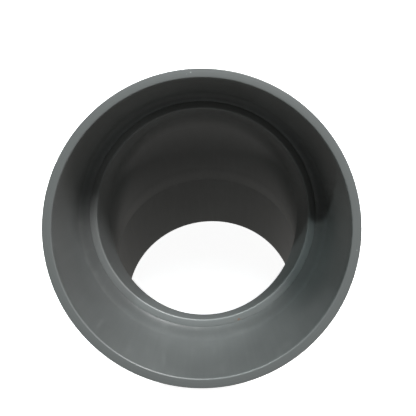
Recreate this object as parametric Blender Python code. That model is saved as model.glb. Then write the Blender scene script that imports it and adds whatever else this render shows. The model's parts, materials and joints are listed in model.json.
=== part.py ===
"""A 45 degree PVC-U pipe elbow, 110 mm, with a solvent-weld socket on one end and a spigot on the other.

It stands on the spigot's end face with the socket leaning towards -Y. Each leg is built in its own local
frame at the bend centre: local +Z runs outwards along the leg and local +Y points at the throat, the inner
side of the bend. The two legs meet on the mitre plane, local z = y tan(BEND / 2), where a weld bead joins them.
"""

import math

import bmesh
import bpy
from mathutils import Vector

BEND = math.radians(45)
PIPE_RADIUS = 0.055
SOCKET_REACH = 0.0661       # bend centre to the socket's mouth
SPIGOT_REACH = 0.0811       # bend centre to the spigot's end
STOP_REACH = 0.0249         # bend centre to the pipe stop, the same on both legs

SOCKET_ROOT_RADIUS = PIPE_RADIUS
SOCKET_MOUTH_RADIUS = PIPE_RADIUS + 0.0002
COLLAR_RADIUS = 0.0588
BODY_RADIUS = 0.0556        # outside of both shells next to the mitre

KNEE_OUTER_RADIUS = 0.0516
KNEE_STOP_RADIUS = 0.0482   # bore at the pipe stop
KNEE_MITRE_RADIUS = 0.0476  # bore at the bend centre, which the core's draft narrows

GAP = 0.0003                # between pieces that touch
SHELL_BORE_RADIUS = KNEE_OUTER_RADIUS + GAP

LIP_ROUND = 0.0009          # rounded inner edge of the mouth
EDGE_ROUND = 0.0004
ROOT_FILLET = SOCKET_ROOT_RADIUS - SHELL_BORE_RADIUS
SHOULDER_START = 0.0012     # the shells' outside steps begin this far past the pipe stop
SPIGOT_STEP_LENGTH = 0.002
SPIGOT_CHAMFER_LENGTH = 0.004
SPIGOT_CHAMFER_DEPTH = 0.0011
WELD_GROOVE = 0.002
WELD_CROWN = 0.0012
WELD_SHOULDER = 0.00095     # the bead's rounded flank, its height and half width
WELD_SHOULDER_WIDTH = 0.0014

SEGMENTS = 72
ARC_STEPS = 4
SHARP_ANGLE = math.radians(30)
SLOPE = math.tan(BEND / 2)


def pvc(name, colour, roughness):
    material = bpy.data.materials.new(name)
    material.use_nodes = True
    shader = material.node_tree.nodes["Principled BSDF"]
    shader.inputs["Base Color"].default_value = (*colour, 1)
    shader.inputs["Roughness"].default_value = roughness
    shader.inputs["Metallic"].default_value = 0
    return material


def leg(name, rotation, parent):
    """An empty at the bend centre, turned so that its +Z runs out along the leg."""
    empty = bpy.data.objects.new(name, None)
    bpy.context.scene.collection.objects.link(empty)
    empty.rotation_euler = rotation
    empty.parent = parent
    return empty


def straight(radius, station):
    """A ring square to the leg's axis."""
    return lambda angle: Vector((radius * math.sin(angle), radius * math.cos(angle), station))


def mitred(radius, offset):
    """A ring on the mitre plane, moved outwards along the leg by the offset."""
    return lambda angle: Vector(
        (radius * math.sin(angle), radius * math.cos(angle), radius * math.cos(angle) * SLOPE + offset)
    )


def corner_arc(centre, radius, start, end):
    """Points of a rounded edge in the (radius, station) plane, angles in degrees from +radius."""
    points = []
    for step in range(ARC_STEPS + 1):
        angle = math.radians(start + (end - start) * step / ARC_STEPS)
        points.append((centre[0] + radius * math.cos(angle), centre[1] + radius * math.sin(angle)))
    return points


def ring_solid(name, outline, parent, material):
    """A closed ring-shaped solid whose cross-section is the outline, a loop of ring functions."""
    mesh = bpy.data.meshes.new(name)
    work = bmesh.new()
    rings = []
    for ring in outline:
        rings.append([work.verts.new(ring(2 * math.pi * i / SEGMENTS)) for i in range(SEGMENTS)])
    for near, far in zip(rings, rings[1:] + rings[:1]):
        for i in range(SEGMENTS):
            j = (i + 1) % SEGMENTS
            work.faces.new((near[i], near[j], far[j], far[i]))
    bmesh.ops.recalc_face_normals(work, faces=work.faces)
    work.to_mesh(mesh)
    work.free()
    mesh.materials.append(material)
    mesh.shade_smooth()
    mesh.set_sharp_from_angle(angle=SHARP_ANGLE)
    obj = bpy.data.objects.new(name, mesh)
    bpy.context.scene.collection.objects.link(obj)
    obj.parent = parent
    return obj


def shell_at_mitre():
    """The shell's end at the mitre: its bore, a flat land and one side of the weld groove."""
    return [
        mitred(SHELL_BORE_RADIUS, GAP / 2),
        mitred(BODY_RADIUS - WELD_GROOVE, GAP / 2),
        mitred(BODY_RADIUS, GAP / 2 + WELD_GROOVE),
    ]


def socket_collar(parent):
    lip = corner_arc((SOCKET_MOUTH_RADIUS + LIP_ROUND, SOCKET_REACH - LIP_ROUND), LIP_ROUND, 180, 90)
    rim = corner_arc((COLLAR_RADIUS - EDGE_ROUND, SOCKET_REACH - EDGE_ROUND), EDGE_ROUND, 90, 0)
    root = corner_arc((SHELL_BORE_RADIUS, STOP_REACH + ROOT_FILLET), ROOT_FILLET, -90, 0)
    outside = [
        (COLLAR_RADIUS, STOP_REACH + SHOULDER_START + COLLAR_RADIUS - BODY_RADIUS),
        (BODY_RADIUS + EDGE_ROUND, STOP_REACH + SHOULDER_START),
    ]
    outline = shell_at_mitre()[::-1]
    outline += [straight(*point) for point in root + lip + rim + outside]
    return ring_solid("socket_collar", outline, parent, pvc("collar_pvc", (0.14, 0.15, 0.148), 0.36))


def spigot_pipe(parent):
    profile = [
        (BODY_RADIUS, STOP_REACH + SHOULDER_START),
        (PIPE_RADIUS, STOP_REACH + SHOULDER_START + SPIGOT_STEP_LENGTH),
        (PIPE_RADIUS, SPIGOT_REACH - SPIGOT_CHAMFER_LENGTH),
        (PIPE_RADIUS - SPIGOT_CHAMFER_DEPTH, SPIGOT_REACH),
        (SHELL_BORE_RADIUS, SPIGOT_REACH),
    ]
    outline = shell_at_mitre() + [straight(*point) for point in profile]
    return ring_solid("spigot_pipe", outline, parent, pvc("spigot_pvc", (0.135, 0.145, 0.143), 0.36))


def knee_half(name, parent):
    """A short pipe segment with a square end, the pipe stop, and a mitred end."""
    outline = [
        mitred(KNEE_MITRE_RADIUS, GAP / 2),
        mitred(KNEE_OUTER_RADIUS, GAP / 2),
        straight(KNEE_OUTER_RADIUS, STOP_REACH),
        straight(KNEE_STOP_RADIUS, STOP_REACH),
    ]
    return ring_solid(name, outline, parent, pvc(name + "_pvc", (0.12, 0.125, 0.123), 0.34))


def mitre_weld_bead(parent, legs):
    """The bead in the groove between the shells: its two sides follow the two legs."""
    floor = BODY_RADIUS - WELD_GROOVE - GAP / 2 + GAP * math.sqrt(2)
    section = [
        (floor, 0),
        (floor + WELD_GROOVE, WELD_GROOVE),
        (BODY_RADIUS + WELD_SHOULDER, WELD_SHOULDER_WIDTH),
    ]
    crown = (BODY_RADIUS + WELD_CROWN, 0)
    socket_side, spigot_side = (piece.rotation_euler.to_matrix() for piece in legs)
    # The socket leg's frame is turned half a turn about Z, so its rings run the other way round.
    near = [(lambda angle, r=r, w=w: socket_side @ mitred(r, w)(-angle)) for r, w in section[1:]]
    far = [(lambda angle, r=r, w=w: spigot_side @ mitred(r, w)(angle)) for r, w in section]
    top = [lambda angle: spigot_side @ mitred(*crown)(angle)]
    return ring_solid(
        "mitre_weld_bead", far + top + near[::-1], parent, pvc("weld_pvc", (0.16, 0.165, 0.163), 0.42)
    )


def stand_on_floor(root, pieces):
    """Moves the whole fitting so that the origin is the bottom centre of its box."""
    bpy.context.view_layer.update()
    corners = [piece.matrix_world @ vertex.co for piece in pieces for vertex in piece.data.vertices]
    low = Vector(min(point[axis] for point in corners) for axis in range(3))
    high = Vector(max(point[axis] for point in corners) for axis in range(3))
    root.location += Vector((-(low.x + high.x) / 2, -(low.y + high.y) / 2, -low.z))
    bpy.context.view_layer.update()


def main():
    for obj in list(bpy.data.objects):
        bpy.data.objects.remove(obj, do_unlink=True)
    root = leg("bend_centre", (0, 0, 0), None)
    socket_leg = leg("socket_leg", (-BEND, 0, math.pi), root)
    spigot_leg = leg("spigot_leg", (math.pi, 0, 0), root)
    pieces = [
        socket_collar(socket_leg),
        spigot_pipe(spigot_leg),
        knee_half("knee_socket_half", socket_leg),
        knee_half("knee_spigot_half", spigot_leg),
        mitre_weld_bead(root, (socket_leg, spigot_leg)),
    ]
    stand_on_floor(root, pieces)


main()
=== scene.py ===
import json
import math

import bpy
from mathutils import Matrix, Vector, noise


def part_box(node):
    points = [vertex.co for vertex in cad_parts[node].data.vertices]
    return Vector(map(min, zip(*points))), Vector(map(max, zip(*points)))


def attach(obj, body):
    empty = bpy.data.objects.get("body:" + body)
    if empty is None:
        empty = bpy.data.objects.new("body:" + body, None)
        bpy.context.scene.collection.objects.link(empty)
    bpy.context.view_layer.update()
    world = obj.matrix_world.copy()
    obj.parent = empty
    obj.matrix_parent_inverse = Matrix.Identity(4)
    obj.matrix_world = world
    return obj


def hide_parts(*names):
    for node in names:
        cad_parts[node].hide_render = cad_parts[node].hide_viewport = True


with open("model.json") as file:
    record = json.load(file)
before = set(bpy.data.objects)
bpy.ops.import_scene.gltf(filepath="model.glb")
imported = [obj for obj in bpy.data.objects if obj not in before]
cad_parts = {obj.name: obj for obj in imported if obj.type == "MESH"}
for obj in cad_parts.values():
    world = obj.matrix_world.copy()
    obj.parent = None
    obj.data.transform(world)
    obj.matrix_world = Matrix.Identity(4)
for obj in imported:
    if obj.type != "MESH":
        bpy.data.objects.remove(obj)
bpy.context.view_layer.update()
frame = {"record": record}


# ---------------------------------------------------------------- sizes, in metres

# The fitting's main lines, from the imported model: where its two ends and its pipe stop lie.
MOUNTS = {mount["name"]: mount for mount in frame["record"]["mounts"]}


def on_axis(name):
    """A mount's point moved sideways onto the plane of symmetry, which holds both axes."""
    place = MOUNTS[name]["pos_m"]
    return Vector((0, place[1], place[2]))


SOCKET_AXIS = Vector(MOUNTS["socket_rim_face"]["axis"]).normalized()
SPIGOT_AXIS = Vector(MOUNTS["spigot_face"]["axis"]).normalized()
MOUTH = on_axis("socket_rim_face")
SPIGOT_END = on_axis("spigot_face")
SOCKET_REACH = (SPIGOT_END.y - MOUTH.y) / -SOCKET_AXIS.y
BEND_CENTRE = MOUTH - SOCKET_AXIS * SOCKET_REACH
STOP_REACH = (on_axis("pipe_stop") - BEND_CENTRE).length
SPIGOT_REACH = (SPIGOT_END - BEND_CENTRE).length
BEND = SOCKET_AXIS.angle(-SPIGOT_AXIS)
SLOPE = math.tan(BEND / 2)

COLLAR_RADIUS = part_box("socket_collar")[1].x
BODY_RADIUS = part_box("spigot_pipe")[1].x
KNEE_OUTER_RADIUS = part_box("knee_socket_half")[1].x
CROWN_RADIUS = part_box("mitre_weld_bead")[1].x

# The bores and the plain pipe end are narrower than their pieces' boxes.
PIPE_RADIUS = 0.055
SOCKET_MOUTH_RADIUS = 0.0552
KNEE_STOP_RADIUS = 0.0482
KNEE_MITRE_RADIUS = 0.0476

JOINT_GAP = 0.00005         # between pieces that touch
SHELL_BORE_RADIUS = KNEE_OUTER_RADIUS + JOINT_GAP
SHOULDER = STOP_REACH + 0.0012      # where the shells' outside steps begin
WELD_GROOVE_WIDTH = 0.0021  # one half of the groove between the shells, measured along the leg
WELD_GROOVE_DEPTH = 0.0018
EDGE_ROUND = 0.0003

# The bore's rounded corner at the mitre, on its outer and its inner side.
HEEL_ROUND = 0.070
THROAT_ROUND = 0.0020

SEGMENTS = 288
BLEND_STEPS = 10
FLARE_STEPS = 12
DRAFT_STEPS = 6
BEAD_STEPS = 12


# ---------------------------------------------------------------- shapes

def leg_matrix(axis):
    """The leg's frame at the bend centre: z out along the leg, y towards the throat."""
    throat = SPIGOT_AXIS if axis is SOCKET_AXIS else SOCKET_AXIS
    y = (throat - axis * throat.dot(axis)).normalized()
    x = y.cross(axis)
    turn = Matrix((x, y, axis)).transposed().to_4x4()
    return Matrix.Translation(BEND_CENTRE) @ turn


SOCKET_LEG = leg_matrix(SOCKET_AXIS)
SPIGOT_LEG = leg_matrix(SPIGOT_AXIS)


def around(radius, angle, station):
    """A point this far from the leg's axis and along it. Its angle starts at the throat."""
    return Vector((radius * math.sin(angle), radius * math.cos(angle), station))


def straight(radius, station):
    """A ring square to the leg's axis."""
    return lambda angle: around(radius, angle, station)


def mitred(radius, offset=0.0):
    """A ring parallel to the mitre plane, moved outwards along the leg by the offset."""
    return lambda angle: around(radius, angle, radius * math.cos(angle) * SLOPE + offset)


def blended(radius, heel_round, throat_round, part):
    """
    A ring of the rounded corner where a leg's wall meets the mitre plane. part runs from 0, where the
    straight wall ends, to 1 on the mitre plane. The wall bends inwards at the heel and outwards at the
    throat, and meets the other leg's wall with no crease.
    """
    least_share = 0.15      # of the corner's radius, at the two sides between heel and throat

    def ring(angle):
        lean = math.cos(angle)
        turn = math.atan(SLOPE * abs(lean))
        corner = heel_round if lean < 0 else throat_round
        bend = corner * (least_share + (1 - least_share) * abs(lean))
        side = -1 if lean < 0 else 1
        end_radius = radius + side * bend * (1 - math.cos(turn))
        start = end_radius * lean * SLOPE + bend * math.sin(turn)
        here = turn * part
        return around(radius + side * bend * (1 - math.cos(here)), angle, start - bend * math.sin(here))
    return ring


def arc(centre, radius, start, end, steps=6):
    """Points of a rounded edge in the (radius, station) plane, angles in degrees from +radius."""
    points = []
    for step in range(steps + 1):
        angle = math.radians(start + (end - start) * step / steps)
        points.append((centre[0] + radius * math.cos(angle), centre[1] + radius * math.sin(angle)))
    return points


def line(start, end, steps):
    """Evenly spaced points from start to end, both included."""
    return [
        tuple(a + (b - a) * step / steps for a, b in zip(start, end))
        for step in range(steps + 1)
    ]


def ring_piece(name, outline, place, sharp=32):
    """
    A closed ring-shaped piece in its leg's frame. The outline is its section, a loop of ring functions,
    and edges that turn by more than the sharp angle, in degrees, are shaded as edges.
    """
    mesh = bpy.data.meshes.new(name)
    points = []
    for ring in outline:
        points += [ring(2 * math.pi * i / SEGMENTS) for i in range(SEGMENTS)]
    faces = []
    for row in range(len(outline)):
        low = row * SEGMENTS
        high = (row + 1) % len(outline) * SEGMENTS
        for i in range(SEGMENTS):
            j = (i + 1) % SEGMENTS
            faces.append((low + i, low + j, high + j, high + i))
    mesh.from_pydata(points, [], faces)
    mesh.update()
    volume = sum(face.center.dot(face.normal) * face.area for face in mesh.polygons)
    if volume < 0:
        mesh.flip_normals()
    mesh.shade_smooth()
    mesh.set_sharp_from_angle(angle=math.radians(sharp))
    piece = bpy.data.objects.new(name, mesh)
    piece.matrix_world = place
    bpy.context.scene.collection.objects.link(piece)
    return piece


def shell_at_mitre():
    """The outside of a shell's end at the mitre: one half of the groove that the weld fills."""
    return [mitred(BODY_RADIUS, WELD_GROOVE_WIDTH), mitred(BODY_RADIUS - WELD_GROOVE_DEPTH, JOINT_GAP)]


def build_collar():
    """The large collar: rounded lip, socket wall, bell-shaped root, and the outside with its shoulder."""
    lip = 0.0006
    below_rim, above_step = 0.004, 0.001     # the long outside wall runs between these
    bell_angle = -45        # the bell's arc runs from here to the socket wall
    bell_round = (PIPE_RADIUS - SHELL_BORE_RADIUS) / (1 - math.cos(math.radians(bell_angle)))
    bell_end = STOP_REACH - JOINT_GAP - bell_round * math.sin(math.radians(bell_angle))
    inside = arc((PIPE_RADIUS - bell_round, bell_end), bell_round, bell_angle, 0, steps=14)
    inside += line((PIPE_RADIUS, bell_end), (SOCKET_MOUTH_RADIUS, SOCKET_REACH - lip), steps=10)[1:-1]
    inside += arc((SOCKET_MOUTH_RADIUS + lip, SOCKET_REACH - lip), lip, 180, 90, steps=8)
    rim = arc((COLLAR_RADIUS - EDGE_ROUND, SOCKET_REACH - EDGE_ROUND), EDGE_ROUND, 90, 0)

    # The shoulder steps down at 45 degrees, and two points ease each of its corners.
    step_top = SHOULDER + COLLAR_RADIUS - BODY_RADIUS
    corner, tip = 0.0008, 0.0002
    wall_top = (COLLAR_RADIUS, SOCKET_REACH - below_rim)
    outside = line(wall_top, (COLLAR_RADIUS, step_top + above_step), steps=8)
    outside += [
        (COLLAR_RADIUS - tip, step_top + tip / 2),
        (COLLAR_RADIUS - corner, step_top - corner),
        (BODY_RADIUS + corner, SHOULDER + corner),
        (BODY_RADIUS + tip, SHOULDER + tip / 2),
    ]
    outline = [mitred(SHELL_BORE_RADIUS, JOINT_GAP)]
    outline += [straight(*point) for point in inside + rim + outside]
    return ring_piece("collar_shell", outline + shell_at_mitre(), SOCKET_LEG)


def build_spigot():
    """The plain pipe end: a step down from the shell, the spigot and its chamfered end."""
    chamfer, chamfer_length = 0.0011, 0.004
    chamfer_ease = 0.0005
    step_length = 0.002
    bore_top = SPIGOT_REACH - 0.002
    corner, tip = 0.0004, 0.0001        # how two points ease the step's corners
    plain_start = SHOULDER + 2 * step_length
    chamfer_start = SPIGOT_REACH - chamfer_length
    outside = [
        (BODY_RADIUS, SHOULDER),
        (BODY_RADIUS - tip, SHOULDER + corner),
        (PIPE_RADIUS + tip, SHOULDER + step_length - corner),
        (PIPE_RADIUS, SHOULDER + step_length),
    ]
    plain_end = chamfer_start - chamfer_ease
    outside += line((PIPE_RADIUS, plain_start), (PIPE_RADIUS, plain_end), steps=10)
    chamfer_end = (PIPE_RADIUS - chamfer + EDGE_ROUND, SPIGOT_REACH - EDGE_ROUND)
    outside += line((PIPE_RADIUS - tip, chamfer_start), chamfer_end, steps=4)
    outside += [(PIPE_RADIUS - chamfer, SPIGOT_REACH)]
    inner_edge = (SHELL_BORE_RADIUS + EDGE_ROUND, SPIGOT_REACH - EDGE_ROUND)
    outside += arc(inner_edge, EDGE_ROUND, 90, 180, steps=4)
    inside = line((SHELL_BORE_RADIUS, bore_top), (SHELL_BORE_RADIUS, STOP_REACH), steps=12)
    outline = shell_at_mitre()[::-1]
    outline += [straight(*point) for point in outside + inside]
    outline += [mitred(SHELL_BORE_RADIUS, JOINT_GAP)]
    return ring_piece("spigot_shell", outline, SPIGOT_LEG)


def build_knee(name, place, lip, flare=0.0, flare_length=0.0):
    """
    Half of the knee: an inner sleeve with a square end, the pipe stop, and a bore that is blended into the
    other half's. The half in the spigot leg reaches a little farther and its bore flares towards its end.
    """
    edge = 0.00003
    flare_run = 0.004       # how far inside the pipe stop the flare begins
    end = STOP_REACH + flare_length
    end_radius = KNEE_STOP_RADIUS + flare
    sleeve_end = arc((KNEE_OUTER_RADIUS - edge, end - edge), edge, 0, 90, steps=3)
    sleeve_end += arc((end_radius + lip, end - lip), lip, 90, 180, steps=8)
    if flare:
        flare_start, flare_end = STOP_REACH - flare_run, end - lip
        for step in range(1, FLARE_STEPS + 1):
            part = 1 - step / FLARE_STEPS
            ease = part * part * (2 - part)
            station = flare_start + (flare_end - flare_start) * part
            sleeve_end.append((KNEE_STOP_RADIUS + flare * ease, station))
    bore_end = sleeve_end[-1][1]
    draft = (KNEE_STOP_RADIUS - KNEE_MITRE_RADIUS) / STOP_REACH

    def drafted(part):
        """The bore's wall between its end and the blend: it narrows a little with depth."""
        start = blended(KNEE_MITRE_RADIUS, HEEL_ROUND, THROAT_ROUND, 0)

        def ring(angle):
            low = start(angle).z
            station = low + (bore_end - low) * part
            return around(KNEE_MITRE_RADIUS + draft * max(station, 0) * part, angle, station)
        return ring

    outline = [mitred(KNEE_OUTER_RADIUS, JOINT_GAP)]
    outline += [straight(*point) for point in sleeve_end]
    outline += [drafted(1 - step / DRAFT_STEPS) for step in range(1, DRAFT_STEPS)]
    for step in range(BLEND_STEPS + 1):
        outline.append(blended(KNEE_MITRE_RADIUS, HEEL_ROUND, THROAT_ROUND, step / BLEND_STEPS))
    return ring_piece(name, outline, place)


def build_bead():
    """The weld bead, with the small ripples that a hand weld leaves."""
    root_depth = 0.0016
    half_width = 0.0024
    ripple, ripples = 0.00012, 96
    drift_depth, drift_scale, drift_seed = 0.00008, 9, 3.1
    height = CROWN_RADIUS - BODY_RADIUS - ripple

    def ring(place, radius, width, raised):
        mirror = -1 if place is SOCKET_LEG else 1

        def point(angle):
            wave = ripple * (0.5 - 0.5 * math.cos(ripples * angle)) * raised
            on_circle = Vector((drift_scale * math.sin(angle), drift_scale * math.cos(angle), drift_seed))
            drift = drift_depth * noise.noise(on_circle) * raised
            return place @ mitred(radius + wave - abs(drift), width)(mirror * angle)
        return point

    outline = [ring(SPIGOT_LEG, BODY_RADIUS - root_depth, 0, 0)]
    for step in range(BEAD_STEPS + 1):
        across = math.cos(math.pi * step / BEAD_STEPS)
        rise = math.sin(math.pi * step / BEAD_STEPS)
        place = SPIGOT_LEG if across >= 0 else SOCKET_LEG
        outline.append(ring(place, BODY_RADIUS + height * rise, half_width * abs(across), rise))
    return ring_piece("weld_bead", outline, Matrix.Identity(4), sharp=60)


# ---------------------------------------------------------------- materials

GREY = (0.099, 0.106, 0.105)
SCUFFED = (0.24, 0.25, 0.245)
RUST = (0.20, 0.105, 0.06)
CHALK = (0.26, 0.28, 0.275)

PVC_IOR = 1.53

# Noise cells per metre along the leg's x, y and z axes.
CLOUDS = (22, 22, 22)
PATCHES = (60, 60, 45)
DRAW_MARKS = (700, 700, 9)
SCUFFS = (260, 260, 70)
ORANGE_PEEL = (420, 420, 420)
RAGGED_EDGE = (900, 900, 900)
TOOL_RINGS = 3800           # per metre of radius, on a sawn and turned face
MIDDLE = (0.3, 0.7)         # most of a noise's values fall between these

# Bump heights, in metres.
PEEL_HEIGHT = 0.00002
DRAW_HEIGHT = 0.000006
RING_HEIGHT = 0.00001


class Surface:
    """Builds one rigid PVC surface from nodes, in the piece's own leg frame."""

    def __init__(self, name, colour, roughness):
        self.material = bpy.data.materials.new(name)
        self.material.use_nodes = True
        self.nodes, self.links = self.material.node_tree.nodes, self.material.node_tree.links
        self.shader = self.nodes["Principled BSDF"]
        self.shader.inputs["IOR"].default_value = PVC_IOR
        self.place = self.nodes.new("ShaderNodeTexCoord").outputs["Object"]
        self.colour = self.tone(colour)
        self.roughness = roughness
        self.height = None

    def put(self, socket, value):
        if isinstance(value, (int, float)):
            socket.default_value = value
        else:
            self.links.new(value, socket)

    def maths(self, operation, *values):
        node = self.nodes.new("ShaderNodeMath")
        node.operation = operation
        for socket, value in zip(node.inputs, values):
            self.put(socket, value)
        return node.outputs["Value"]

    def remap(self, value, low, high, first=0.0, last=1.0):
        """Runs smoothly from first to last as the value goes from low to high."""
        node = self.nodes.new("ShaderNodeMapRange")
        node.interpolation_type = "SMOOTHSTEP"
        for name, number in (("From Min", low), ("From Max", high), ("To Min", first), ("To Max", last)):
            node.inputs[name].default_value = number
        self.put(node.inputs["Value"], value)
        return node.outputs["Result"]

    def noise(self, stretch, detail=3.0, rough=0.5, seed=0.0):
        """Noise with this many cells per metre along x, y and z."""
        node = self.nodes.new("ShaderNodeTexNoise")
        node.inputs["Scale"].default_value = 1.0
        node.inputs["Detail"].default_value = detail
        node.inputs["Roughness"].default_value = rough
        mapping = self.nodes.new("ShaderNodeMapping")
        mapping.inputs["Scale"].default_value = stretch
        mapping.inputs["Location"].default_value = (seed, -seed, 0.5 * seed)
        self.links.new(self.place, mapping.inputs["Vector"])
        self.links.new(mapping.outputs["Vector"], node.inputs["Vector"])
        return node.outputs["Fac"]

    def parts(self):
        """(distance from the leg's axis, station along it)"""
        split = self.nodes.new("ShaderNodeSeparateXYZ")
        self.links.new(self.place, split.inputs["Vector"])
        x, y, z = split.outputs
        squared = self.maths("ADD", self.maths("MULTIPLY", x, x), self.maths("MULTIPLY", y, y))
        return self.maths("SQRT", squared), z

    def lines(self, value, per_metre, detail=2.0):
        """One-dimensional noise: fine marks across the value."""
        node = self.nodes.new("ShaderNodeTexNoise")
        node.noise_dimensions = "1D"
        node.inputs["Scale"].default_value = per_metre
        node.inputs["Detail"].default_value = detail
        self.links.new(value, node.inputs["W"])
        return node.outputs["Fac"]

    def tone(self, colour):
        node = self.nodes.new("ShaderNodeRGB")
        node.outputs["Color"].default_value = (*colour, 1)
        return node.outputs["Color"]

    def blend(self, amount, colour, mode="MIX"):
        """Mixes this colour over the surface's colour."""
        node = self.nodes.new("ShaderNodeMixRGB")
        node.blend_type = mode
        self.put(node.inputs["Fac"], amount)
        self.links.new(self.colour, node.inputs["Color1"])
        if isinstance(colour, tuple):
            node.inputs["Color2"].default_value = (*colour, 1)
        else:
            self.links.new(colour, node.inputs["Color2"])
        self.colour = node.outputs["Color"]

    def shade(self, factor):
        """Multiplies the colour by a varying factor."""
        grey = self.nodes.new("ShaderNodeCombineColor")
        for socket in grey.inputs:
            self.links.new(factor, socket)
        self.blend(1.0, grey.outputs["Color"], "MULTIPLY")

    def spot(self, centre, size, colour):
        """A small speck of another colour, or a nick, with a ragged edge."""
        node = self.nodes.new("ShaderNodeVectorMath")
        node.operation = "DISTANCE"
        self.links.new(self.place, node.inputs[0])
        node.inputs[1].default_value = centre
        ragged = self.maths("MULTIPLY", self.noise(RAGGED_EDGE, 2, seed=9.0), size)
        edge = self.maths("ADD", node.outputs["Value"], ragged)
        self.blend(self.remap(edge, 0.9 * size, 1.3 * size, 0.8, 0.0), colour)

    def rougher(self, amount):
        self.roughness = self.maths("ADD", self.roughness, amount)

    def raise_by(self, height):
        """Adds to the bump height, in metres."""
        self.height = height if self.height is None else self.maths("ADD", self.height, height)

    def finish(self):
        self.links.new(self.colour, self.shader.inputs["Base Color"])
        self.links.new(self.roughness, self.shader.inputs["Roughness"])
        bump = self.nodes.new("ShaderNodeBump")
        bump.inputs["Strength"].default_value = 1.0
        bump.inputs["Distance"].default_value = 1.0
        self.links.new(self.height, bump.inputs["Height"])
        self.links.new(bump.outputs["Normal"], self.shader.inputs["Normal"])
        return self.material


def mould(surface, worn, peel):
    """The skin of moulded PVC-U: clouded colour, draw marks along the leg, orange peel and scuffs."""
    clouds = surface.noise(CLOUDS, 4)
    patches = surface.noise(PATCHES, 3, seed=4.0)
    draw = surface.noise(DRAW_MARKS, 2, seed=2.0)
    scuffs = surface.remap(surface.noise(SCUFFS, 1, 0.4, seed=7.0), 0.50, 0.90)
    skin = surface.noise(ORANGE_PEEL, 2, seed=5.0)
    surface.shade(surface.remap(clouds, *MIDDLE, 0.93, 1.07))
    surface.shade(surface.remap(patches, *MIDDLE, 0.965, 1.035))
    surface.shade(surface.remap(draw, 0.35, 0.75, 0.98, 1.03))
    surface.blend(surface.maths("MULTIPLY", scuffs, 0.14 * worn), SCUFFED)
    surface.rougher(surface.remap(clouds, *MIDDLE, -0.03, 0.04))
    surface.rougher(surface.maths("MULTIPLY", scuffs, 0.08 * worn))
    surface.raise_by(surface.maths("MULTIPLY", skin, PEEL_HEIGHT * peel))
    surface.raise_by(surface.maths("MULTIPLY", draw, DRAW_HEIGHT))


def turn_face(surface, radius, station, face, tone):
    """Past the face's station the material is sawn and turned: another tone, rougher, with fine rings."""
    deep, shallow = 0.0006, 0.0001      # it sets in between these depths below the face
    mask = surface.remap(station, face - deep, face - shallow)
    rings = surface.lines(radius, TOOL_RINGS, 3)
    surface.blend(mask, tone)
    ring_tone = surface.maths("MULTIPLY", surface.remap(rings, *MIDDLE, -0.05, 0.05), mask)
    surface.shade(surface.maths("ADD", ring_tone, 1.0))
    surface.rougher(surface.maths("MULTIPLY", mask, 0.06))
    surface.raise_by(surface.maths("MULTIPLY", surface.maths("MULTIPLY", rings, mask), RING_HEIGHT))


def pvc(name, tint, roughness, face=None, face_tint=1.0, worn=1.0, peel=1.0, painted_shade=None, spots=()):
    """
    Semi-gloss rigid PVC-U. tint is its share of the common grey, face the station of a turned end and
    face_tint that end's tone next to the rest. worn and peel scale the scuffs and the orange peel.
    painted_shade is two stations and the tones there, a painted shade laid over the colour between them,
    and spots are small marks.
    """
    colour = tuple(tint * c for c in GREY)
    surface = Surface(name, colour, roughness)
    radius, station = surface.parts()
    mould(surface, worn, peel)
    # Painted shade: the colour is multiplied by a tone that runs between the two stations.
    if painted_shade:
        surface.shade(surface.remap(station, *painted_shade))
    if face:
        turn_face(surface, radius, station, face, tuple(c * face_tint for c in colour))
    for centre, size, tone in spots:
        surface.spot(centre, size, tone)
    return surface.finish()


def dress(piece, material, replaced):
    piece.data.materials.append(material)
    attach(piece, "root")
    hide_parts(replaced)


# ---------------------------------------------------------------- studio

PALE = (0.86, 0.865, 0.87)
FLOOR_GLOW = 0.93
FLOOR_DROP = 0.0004         # keeps the floor clear of the spigot's end
FLOOR_FLAT = 2.5            # radius of its flat part
FLOOR_TURN = 1.5            # radius of its upward curve
BACKDROP_TOP = 4.0
FLOOR_SEGMENTS = 96
TURN_STEPS = 8


def build_floor():
    """A broad pale floor that curves up into a backdrop far away, and glows so that it all shows white."""
    section = [(FLOOR_FLAT, 0.0)]
    turn = arc((FLOOR_FLAT, 0.0), FLOOR_TURN, -90, 0, TURN_STEPS)
    section += [(radius, station + FLOOR_TURN) for radius, station in turn[1:]]
    section.append((FLOOR_FLAT + FLOOR_TURN, BACKDROP_TOP))
    count = FLOOR_SEGMENTS
    points = [Vector((0, 0, 0))]
    for radius, station in section:
        points += [around(radius, 2 * math.pi * i / count, station) for i in range(count)]
    faces = [(0, 1 + (i + 1) % count, 1 + i) for i in range(count)]
    for row in range(len(section) - 1):
        low = 1 + row * count
        for i in range(count):
            j = (i + 1) % count
            faces.append((low + i, low + j, low + count + j, low + count + i))
    mesh = bpy.data.meshes.new("floor")
    mesh.from_pydata(points, [], faces)
    mesh.shade_smooth()
    floor = bpy.data.objects.new("floor", mesh)
    floor.location.z = -FLOOR_DROP
    bpy.context.scene.collection.objects.link(floor)
    material = bpy.data.materials.new("pale_floor")
    material.use_nodes = True
    shader = material.node_tree.nodes["Principled BSDF"]
    shader.inputs["Base Color"].default_value = (*PALE, 1)
    shader.inputs["Roughness"].default_value = 0.9
    shader.inputs["Emission Color"].default_value = (1, 1, 1, 1)
    shader.inputs["Emission Strength"].default_value = FLOOR_GLOW
    mesh.materials.append(material)
    # It sends no light back up at the part. The world's gradient stands for that light.
    floor.visible_diffuse = False
    floor.visible_glossy = False
    floor.visible_shadow = False


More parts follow.
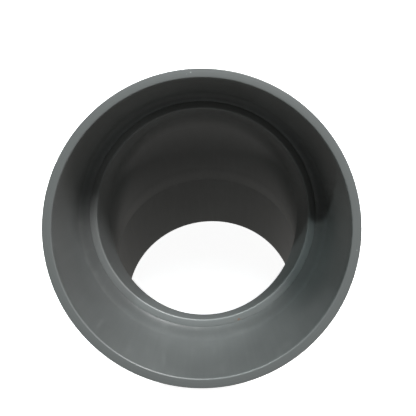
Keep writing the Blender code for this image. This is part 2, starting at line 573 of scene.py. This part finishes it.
# Name, direction from the mouth, distance, size, strength (irradiance over pi at the mouth), colour.
LIGHTS = (
    ("key", (0.358, 0.061, 0.932), 1.6, 0.30, 1.17, (1.0, 0.965, 0.96)),
    ("key_edge", (0.408, 0.256, 0.876), 1.6, 0.20, 0.36, (0.97, 0.99, 1.0)),
    ("side", (-0.283, 0.156, 0.946), 1.6, 0.06, 0.50, (0.88, 1.0, 0.99)),
    ("top", (0.047, -0.054, 0.997), 1.6, 0.30, 0.22, (0.85, 0.97, 1.0)),
    ("right", (0.694, -0.405, 0.595), 1.6, 0.50, 0.06, (1.0, 0.97, 0.95)),
    ("back_fill", (0.35, 1.0, 0.25), 1.4, 0.9, 0.9, (1.0, 1.0, 1.0)),
)

# A weak extra fill inside the socket.
FILL_POWER = 0.0055
FILL_RADIUS = 0.012
FILL_PLACE = BEND_CENTRE + SOCKET_AXIS * (STOP_REACH + 0.009)

# The air is brighter below the horizon than above it, as over a pale floor.
AIR_BELOW, AIR_ABOVE = 0.28, 0.07
AIR_TURN = (-0.25, 0.3)     # the heights on the unit sphere between which it changes
AIR_COLOUR = (1.0, 0.97, 0.93)


def area_light(name, direction, distance, size, strength, colour):
    """A square light at this distance from the mouth, turned towards it."""
    data = bpy.data.lights.new(name, "AREA")
    data.shape = "SQUARE"
    data.size = size
    data.energy = strength * (math.pi * distance) ** 2
    data.color = colour
    light = bpy.data.objects.new(name, data)
    light.location = MOUTH + Vector(direction).normalized() * distance
    light.visible_camera = False
    light.rotation_mode = "QUATERNION"
    light.rotation_quaternion = (MOUTH - light.location).to_track_quat("-Z", "Y")
    bpy.context.scene.collection.objects.link(light)


def build_fill():
    data = bpy.data.lights.new("bounce", "POINT")
    data.energy = FILL_POWER
    data.shadow_soft_size = FILL_RADIUS
    light = bpy.data.objects.new("bounce", data)
    light.location = FILL_PLACE
    light.visible_camera = False
    light.visible_glossy = False
    bpy.context.scene.collection.objects.link(light)


def build_air():
    world = bpy.data.worlds.new("air")
    bpy.context.scene.world = world
    world.use_nodes = True
    nodes, links = world.node_tree.nodes, world.node_tree.links
    background = nodes["Background"]
    background.inputs["Color"].default_value = (*AIR_COLOUR, 1)
    split = nodes.new("ShaderNodeSeparateXYZ")
    links.new(nodes.new("ShaderNodeTexCoord").outputs["Generated"], split.inputs["Vector"])
    strength = nodes.new("ShaderNodeMapRange")
    strength.inputs["From Min"].default_value, strength.inputs["From Max"].default_value = AIR_TURN
    strength.inputs["To Min"].default_value = AIR_BELOW
    strength.inputs["To Max"].default_value = AIR_ABOVE
    links.new(split.outputs["Z"], strength.inputs["Value"])
    links.new(strength.outputs["Result"], background.inputs["Strength"])


# The camera looks straight down the socket's axis from close by, a little above it, and is rolled a little.
CAMERA_DISTANCE = 0.167     # from the mouth's plane
CAMERA_RIGHT = 0.0018       # from the socket's axis, in the rolled picture
CAMERA_UP = 0.0267
CAMERA_ROLL = math.radians(4.03)
LENS = 39.4
SENSOR = 36
SHIFT = (0.0034, -0.126)


def build_camera():
    across = Vector((1, 0, 0))
    up = SOCKET_AXIS.cross(across)
    if up.z < 0:
        up = -up
    right = across * math.cos(CAMERA_ROLL) - up * math.sin(CAMERA_ROLL)
    top = across * math.sin(CAMERA_ROLL) + up * math.cos(CAMERA_ROLL)
    data = bpy.data.cameras.new("camera")
    data.sensor_width = SENSOR
    data.lens = LENS
    data.shift_x, data.shift_y = SHIFT
    data.clip_start = 0.005
    camera = bpy.data.objects.new("camera", data)
    place = MOUTH + right * CAMERA_RIGHT + top * CAMERA_UP + SOCKET_AXIS * CAMERA_DISTANCE
    turn = Matrix((right, top, SOCKET_AXIS)).transposed().to_4x4()
    camera.matrix_world = Matrix.Translation(place) @ turn
    bpy.context.scene.collection.objects.link(camera)
    bpy.context.scene.camera = camera


# ---------------------------------------------------------------- scene

build_camera()
build_air()
for light in LIGHTS:
    area_light(*light)
build_fill()
build_floor()


def mark(radius, degrees, station, size, colour):
    """A small mark at this place in the leg's frame."""
    return around(radius, math.radians(degrees), station), size, colour


RUST_SPECK = mark(0.0508, -15, STOP_REACH, 0.0009, RUST)
RIM_NICKS = [
    mark(0.0574, 180, SOCKET_REACH, 0.0004, CHALK),
    mark(0.0569, 178.5, SOCKET_REACH, 0.00025, CHALK),
    mark(0.0575, -78, SOCKET_REACH, 0.00035, CHALK),
]
# Painted shade in the socket's root: the collar's colour darkens towards the pipe stop.
PAINTED_ROOT_SHADE = (STOP_REACH + 0.001, STOP_REACH + 0.0075, 0.76, 1.02)

collar_finish = pvc("collar_finish", 1.0, 0.31, SOCKET_REACH, 1.12, painted_shade=PAINTED_ROOT_SHADE, spots=RIM_NICKS)
dress(build_collar(), collar_finish, "socket_collar")

spigot_finish = pvc("spigot_finish", 1.14, 0.32, SPIGOT_REACH, 1.1)
dress(build_spigot(), spigot_finish, "spigot_pipe")

near_finish = pvc("knee_near_finish", 0.94, 0.31, STOP_REACH, 1.6, worn=0.4, peel=0.3, spots=[RUST_SPECK])
dress(build_knee("knee_near", SOCKET_LEG, 0.0008), near_finish, "knee_socket_half")

far_finish = pvc("knee_far_finish", 1.0, 0.31, worn=0.4, peel=0.5)
far_knee = build_knee("knee_far", SPIGOT_LEG, 0.0003, flare=0.0014, flare_length=0.0085)
dress(far_knee, far_finish, "knee_spigot_half")

dress(build_bead(), pvc("bead_finish", 1.0, 0.42), "mitre_weld_bead")

view = bpy.context.scene.view_settings
view.view_transform = "Standard"
view.look = "None"
view.exposure = 0
view.gamma = 1
